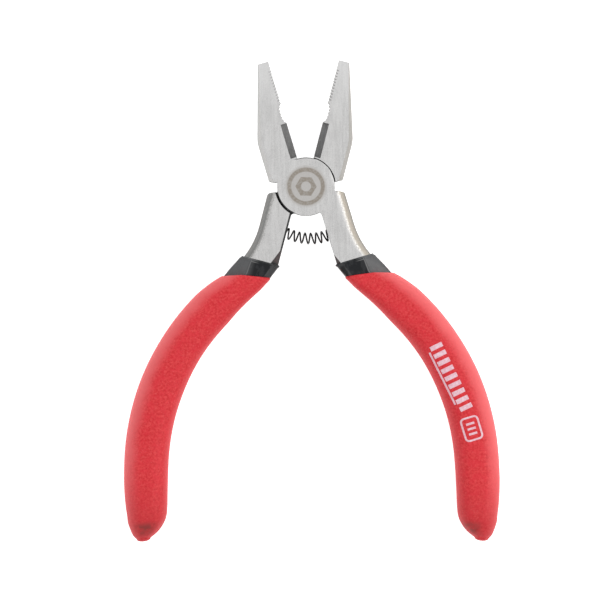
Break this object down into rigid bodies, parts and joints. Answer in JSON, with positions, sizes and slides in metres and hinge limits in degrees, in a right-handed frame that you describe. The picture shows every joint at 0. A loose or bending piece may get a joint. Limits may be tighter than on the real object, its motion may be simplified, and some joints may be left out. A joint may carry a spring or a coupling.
{
  "type": "mini combination pliers",
  "caption": "Spring-loaded mini combination pliers: lap joint, serrated flat tips, toothed pipe grip, side cutters and bowed dipped grips.",
  "frame": {"origin": "on the pivot axis, at the back face of the lap joint", "axes": "+Y towards the jaw tips, +Z along the pivot axis out of the front face, +X across to the right"},
  "size_m": [0.0844, 0.1083, 0.0094],
  "materials": {
    "steel": "satin ground",
    "rivet_steel": "satin ground",
    "spring_wire": "blackened spring steel",
    "inner_sleeve": "glossy black dip",
    "outer_grip": "matte speckled red dip"
  },
  "bodies": {
    "rear_half": {"rear_lever": "steel", "rear_inner_sleeve": "inner_sleeve", "rear_outer_grip": "outer_grip"},
    "front_half": {"front_lever": "steel", "pivot_rivet": "rivet_steel", "front_inner_sleeve": "inner_sleeve", "front_outer_grip": "outer_grip", "return_spring": "spring_wire"}
  },
  "joints": [
    {"name": "pivot", "type": "hinge", "parent": "rear_half", "child": "front_half", "pos_m": [0, 0, 0.0038], "axis": [0, 0, 1], "range_deg": [-31.2, 15], "stiffness_Nm_per_rad": 0.17, "deforming": ["return_spring"]}
  ]
}
